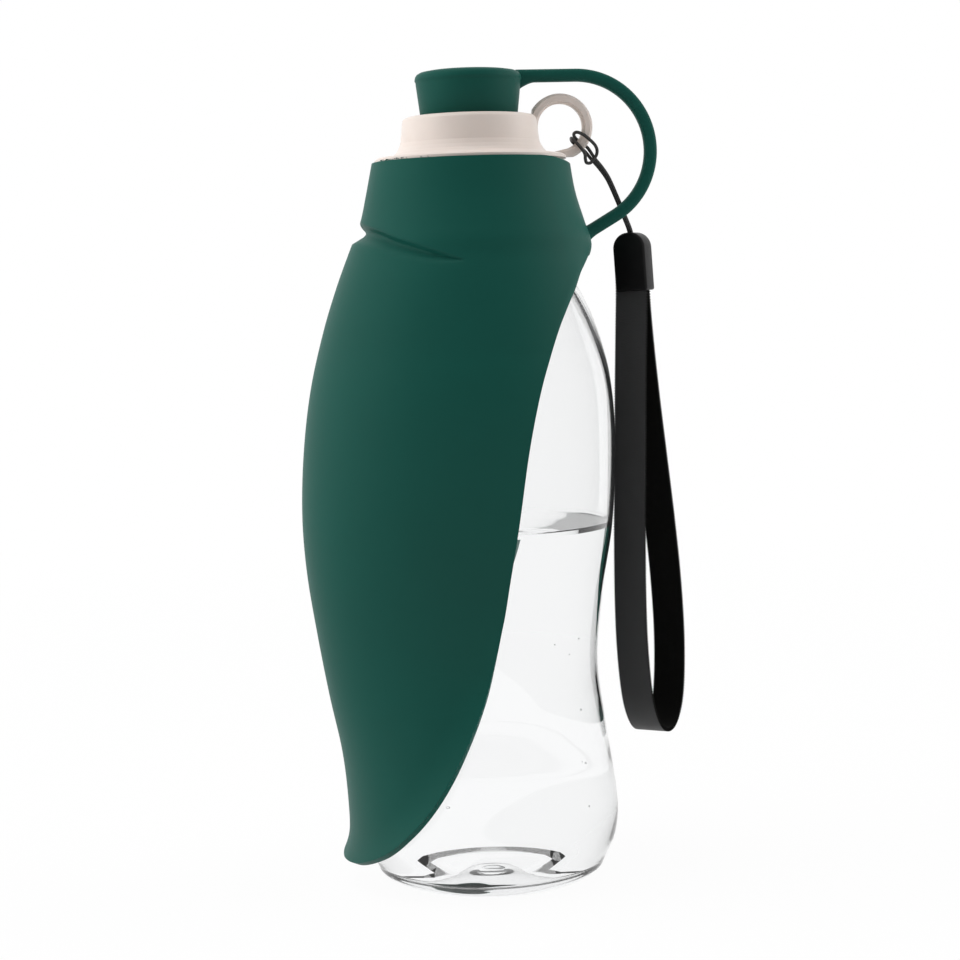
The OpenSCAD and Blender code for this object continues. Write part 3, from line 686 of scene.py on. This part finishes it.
ferrule_top = ferrule_foot + ferrule_size[2]
select_edges(ferrule, lambda a, b: min(a.z, b.z) > ferrule_top - 0.0001 and abs(a.y - b.y) > 0.001)
bpy.ops.mesh.bevel(offset=0.0047, offset_type="OFFSET", segments=12, profile=0.5, affect="EDGES")
select_edges(
    ferrule,
    lambda a, b: (abs(abs(a.y) - ferrule_size[1] / 2) < 0.0001 and abs(a.y - b.y) < 0.0001)
    or max(a.z, b.z) < ferrule_foot + 0.0001,
)
bpy.ops.mesh.bevel(offset=0.0007, offset_type="OFFSET", segments=4, profile=0.55, affect="EDGES")
bpy.ops.mesh.select_mode(type="FACE")
bpy.ops.mesh.select_all(action="DESELECT")
bpy.ops.object.mode_set(mode="OBJECT")
for face in ferrule.data.polygons:
    face.select = face.normal.z < -0.99
bpy.ops.object.mode_set(mode="EDIT")
bpy.ops.mesh.inset(thickness=0.0006)
bpy.ops.mesh.extrude_region_move(TRANSFORM_OT_translate={"value": (0, 0, 0.0098)})
bpy.ops.mesh.select_all(action="SELECT")
bpy.ops.mesh.normals_make_consistent(inside=False)
bpy.ops.object.mode_set(mode="OBJECT")
# it hangs a little askew, turned about a point near its top
pivot = Matrix.Translation((0, 0, 0.19))
lean = pivot @ Matrix.Rotation(math.radians(-3), 4, "Y") @ pivot.inverted()
ferrule.data.transform(hang_place @ lean)
ferrule_plastic, ferrule_shader, ferrule_tree = new_finish("ferrule plastic", (0.006, 0.006, 0.006), 0.36)
ferrule_shader.inputs["Specular IOR Level"].default_value = 0.12
add_grain(
    ferrule_tree, ferrule_shader, 3600, 0.00005, 300,
    (0.005, 0.005, 0.0052), (0.008, 0.008, 0.0082), (0.3, 0.42),
)
shape_as(ferrule, ferrule_plastic, 35)
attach(ferrule, "lanyard")
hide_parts("cord_ferrule")

# ---------------------------------------------------------------------------------------------
# Wrist strap: one length of 10 mm flat webbing, 1.1 mm thick, smoother on its outer face, and painted darker
# on its inner face as painted shade.
# The weft turns back at both edges, which leaves them finely toothed.
strap_width, strap_thick = 0.010, 0.0011
strap_line = [
    (-0.0008, 0.1838), (-0.0008, 0.174), (-0.0018, 0.163), (-0.0034, 0.145), (-0.0048, 0.125),
    (-0.0066, 0.103), (-0.0074, 0.082), (-0.0066, 0.065), (-0.0034, 0.050), (0.0024, 0.041),
    (0.0096, 0.0378), (0.0166, 0.040), (0.0216, 0.048), (0.0232, 0.064), (0.0214, 0.083),
    (0.0172, 0.103), (0.012, 0.123), (0.007, 0.142), (0.003, 0.160), (0.0008, 0.174),
    (0.0008, 0.1838),
]
strap_pitch, strap_finesse, strap_columns, tooth_depth = 0.00042, 40, 10, 0.0002
strap_route = [(0, y, z) for y, z in strap_line]
fine = [
    point_on(strap_route, k / strap_finesse) for k in range(strap_finesse * (len(strap_line) - 1) + 1)
]
fine_walk = [0.0]
for a, b in zip(fine, fine[1:]):
    fine_walk.append(fine_walk[-1] + (b - a).length)
strap_steps = int(fine_walk[-1] / strap_pitch)
bpy.ops.object.select_all(action="DESELECT")
bpy.ops.mesh.primitive_grid_add(x_subdivisions=strap_columns, y_subdivisions=strap_steps, size=2)
strap = bpy.context.active_object
strap.name = "webbing_strap"


def strap_at(distance):
    """The point of the strap's middle line at a distance along it."""
    distance = min(max(distance, 0), fine_walk[-1] * 0.999999)
    low, high = 0, len(fine_walk) - 1
    while high - low > 1:
        mid = (low + high) // 2
        low, high = (mid, high) if fine_walk[mid] <= distance else (low, mid)
    t = (distance - fine_walk[low]) / (fine_walk[high] - fine_walk[low])
    return fine[low].lerp(fine[high], t)


for vertex in strap.data.vertices:
    across, walk = vertex.co.x, (vertex.co.y + 1) / 2 * fine_walk[-1]
    row = round((vertex.co.y + 1) / 2 * strap_steps)
    tooth = tooth_depth * (1 if row % 2 else -1) if abs(across) > 0.99 else 0
    x = across * strap_width / 2 + math.copysign(tooth, across) * (1 if tooth > 0 else -1)
    vertex.co = strap_at(walk) + Vector((x, 0, 0))
cloth = strap.modifiers.new("thickness", "SOLIDIFY")
cloth.thickness, cloth.offset = strap_thick, 0
bpy.ops.object.modifier_apply(modifier="thickness")
outer_first = strap.data.polygons[5].normal.y < 0
strap.data.transform(hang_place)
webbing, webbing_shader, webbing_tree = new_finish("webbing outer face", (0.024, 0.024, 0.025), 0.62)
add_grain(
    webbing_tree, webbing_shader, 2400, 0.00012, 220,
    (0.024, 0.024, 0.025), (0.034, 0.034, 0.035), (0.5, 0.66),
)
shape_as(strap, webbing, 45)
# the inner face and the edges take a copy of the webbing painted about six times darker, a painted shade for
# the inside of the loop; it is also rougher
inner_face_shade, inner_face_shade_shader, inner_face_shade_tree = new_finish("webbing inner face painted shade", (0.004, 0.004, 0.0038), 0.85)
inner_face_shade_shader.inputs["Specular IOR Level"].default_value = 0.08
add_grain(
    inner_face_shade_tree, inner_face_shade_shader, 2400, 0.0003, 900,
    (0.0025, 0.0025, 0.0023), (0.0065, 0.0065, 0.006), (0.8, 0.95),
)
strap.data.materials.append(inner_face_shade)
# the two sides come in the order in which the wall was made, and the edges come last
strap_sheet = strap_columns * strap_steps
for face in strap.data.polygons:
    outer = face.index < strap_sheet if outer_first else strap_sheet <= face.index < 2 * strap_sheet
    face.material_index = 0 if outer else 1
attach(strap, "lanyard")
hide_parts("wrist_strap")

# ---------------------------------------------------------------------------------------------
# Stage: a white table under a white wall, a large softbox on each side and one above.
bpy.ops.object.select_all(action="DESELECT")
bpy.ops.mesh.primitive_plane_add(size=6, location=(0, 0, 0))
floor = bpy.context.active_object
floor.name = "table_top"
bpy.ops.object.transform_apply(location=True, rotation=True, scale=True)
paper, paper_shader, paper_tree = new_finish("white table", (0.8, 0.8, 0.8), 0.9)
paper_shader.inputs["Specular IOR Level"].default_value = 0.1
glow = add_node(paper_tree, "ShaderNodeEmission", {"Color": (1, 1, 1, 1), "Strength": 1.0})
blend_in = add_node(paper_tree, "ShaderNodeMixShader")
rays = add_node(paper_tree, "ShaderNodeLightPath")


def seen_directly(tree, rays):
    """1 for what the camera sees directly, in a reflection or through glass."""
    total = None
    for name in ("Is Camera Ray", "Is Glossy Ray", "Is Transmission Ray"):
        if total is None:
            total = rays.outputs[name]
            continue
        add = add_node(tree, "ShaderNodeMath", operation="MAXIMUM")
        tree.links.new(total, add.inputs[0])
        tree.links.new(rays.outputs[name], add.inputs[1])
        total = add.outputs[0]
    return total


# the paper shows the shadow near the bottle and passes into the white wall further out
where = add_node(paper_tree, "ShaderNodeTexCoord")
how_far = add_node(paper_tree, "ShaderNodeVectorMath", operation="LENGTH")
paper_tree.links.new(where.outputs["Object"], how_far.inputs[0])
fade = add_node(
    paper_tree, "ShaderNodeMapRange",
    {"From Min": 0.1, "From Max": 0.9, "To Min": 0.95, "To Max": 1.0}, interpolation_type="SMOOTHSTEP",
)
paper_tree.links.new(how_far.outputs["Value"], fade.inputs["Value"])
share = add_node(paper_tree, "ShaderNodeMath", operation="MULTIPLY")
paper_tree.links.new(fade.outputs["Result"], share.inputs[1])
paper_tree.links.new(seen_directly(paper_tree, rays), share.inputs[0])
paper_tree.links.new(share.outputs[0], blend_in.inputs["Fac"])
paper_tree.links.new(paper_shader.outputs["BSDF"], blend_in.inputs[1])
paper_tree.links.new(glow.outputs["Emission"], blend_in.inputs[2])
paper_tree.links.new(blend_in.outputs["Shader"], paper_tree.nodes["Material Output"].inputs["Surface"])
floor.data.materials.append(paper)

world = bpy.data.worlds.new("white room")
bpy.context.scene.world = world
world.use_nodes = True
sky = world.node_tree.nodes["Background"]
sky.inputs["Color"].default_value = (1, 1, 1, 1)
room = world.node_tree
world_rays = add_node(room, "ShaderNodeLightPath")
toward = add_node(room, "ShaderNodeTexCoord")
split = add_node(room, "ShaderNodeSeparateXYZ")
room.links.new(toward.outputs["Generated"], split.inputs["Vector"])
sideways = add_node(room, "ShaderNodeMath", operation="MULTIPLY")
room.links.new(split.outputs["X"], sideways.inputs[0])
room.links.new(split.outputs["X"], sideways.inputs[1])
# the room lights the object from behind, and more from the two sides, but not from the front
front_light, back_light, side_light = 0.0, 0.4, 0.6
level = add_node(
    room, "ShaderNodeMapRange",
    {"From Min": -1.0, "From Max": 0.2, "To Min": front_light, "To Max": back_light},
)
room.links.new(split.outputs["Y"], level.inputs["Value"])
lit = add_node(room, "ShaderNodeMath", {1: side_light}, operation="MULTIPLY_ADD")
room.links.new(sideways.outputs[0], lit.inputs[0])
room.links.new(level.outputs["Result"], lit.inputs[2])
in_view = add_node(room, "ShaderNodeMix", {"B": 1.0}, data_type="FLOAT")
room.links.new(seen_directly(room, world_rays), in_view.inputs["Factor"])
room.links.new(lit.outputs[0], in_view.inputs["A"])
room.links.new(in_view.outputs["Result"], sky.inputs["Strength"])


def softbox(name, place, size, power):
    """A large lamp that faces the object's middle and isn't seen in anything."""
    bpy.ops.object.light_add(type="AREA", location=place)
    lamp = bpy.context.active_object
    lamp.name = name
    lamp.data.shape = "RECTANGLE"
    lamp.data.size, lamp.data.size_y = size
    lamp.data.energy = power
    aim = Vector((0, 0, 0.12)) - Vector(place)
    lamp.rotation_euler = aim.to_track_quat("-Z", "Y").to_euler()
    lamp.visible_glossy = False
    lamp.visible_transmission = False
    lamp.visible_camera = False


softbox("left softbox", (-1.15, 0.08, 0.35), (1.1, 1.3), 12)
softbox("right softbox", (1.15, 0.02, 0.35), (1.1, 1.3), 12.5)
softbox("top softbox", (-0.2, -0.05, 1.1), (0.9, 0.9), 6)

bpy.context.scene.view_settings.view_transform = "Standard"
